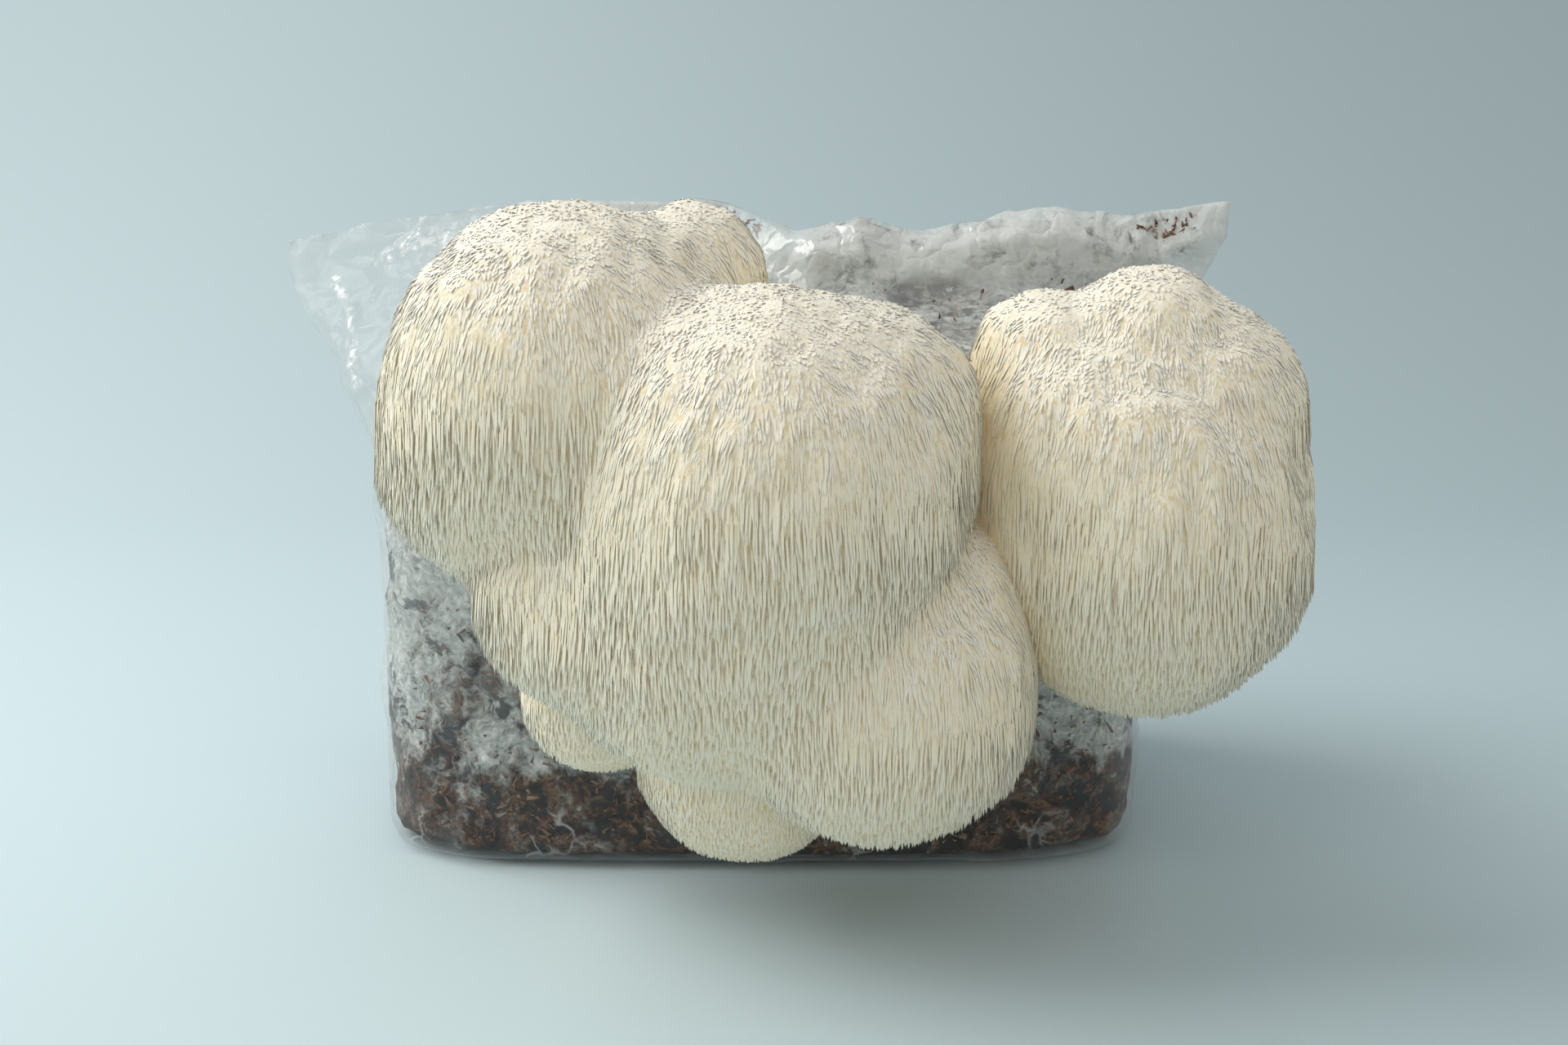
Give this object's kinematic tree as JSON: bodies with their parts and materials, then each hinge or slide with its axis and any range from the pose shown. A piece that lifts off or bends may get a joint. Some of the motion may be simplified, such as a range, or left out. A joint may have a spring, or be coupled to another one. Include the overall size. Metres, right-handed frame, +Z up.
{
  "type": "lions mane mushroom on a grow block",
  "caption": "Fresh lion's mane mushroom, a clump of round pom-poms with hanging spines, growing from the front of a bagged sawdust block that stands on its flat base.",
  "frame": {"origin": "middle of the bag's flat underside, on the surface that the block stands on", "axes": "+Z up, -Y out of the front that the mushroom grows from, +X to the right as seen from the front"},
  "size_m": [0.2757, 0.2429, 0.1849],
  "materials": {
    "substrate": "chunky hardwood sawdust grown through with white mycelium, brown and dark at the base",
    "film": "thin clear polypropylene film, glossy, finely wrinkled, milky where mycelium touches it",
    "mushroom_flesh": "soft matt cream-white flesh covered with fine hanging spines, warmer tan between them"
  },
  "bodies": {
    "root": {"substrate_block": "substrate", "grow_bag": "film", "main_clump": "mushroom_flesh", "right_pom_pom": "mushroom_flesh", "lower_left_pom_pom": "mushroom_flesh", "bottom_pom_pom": "mushroom_flesh"}
  },
  "joints": []
}
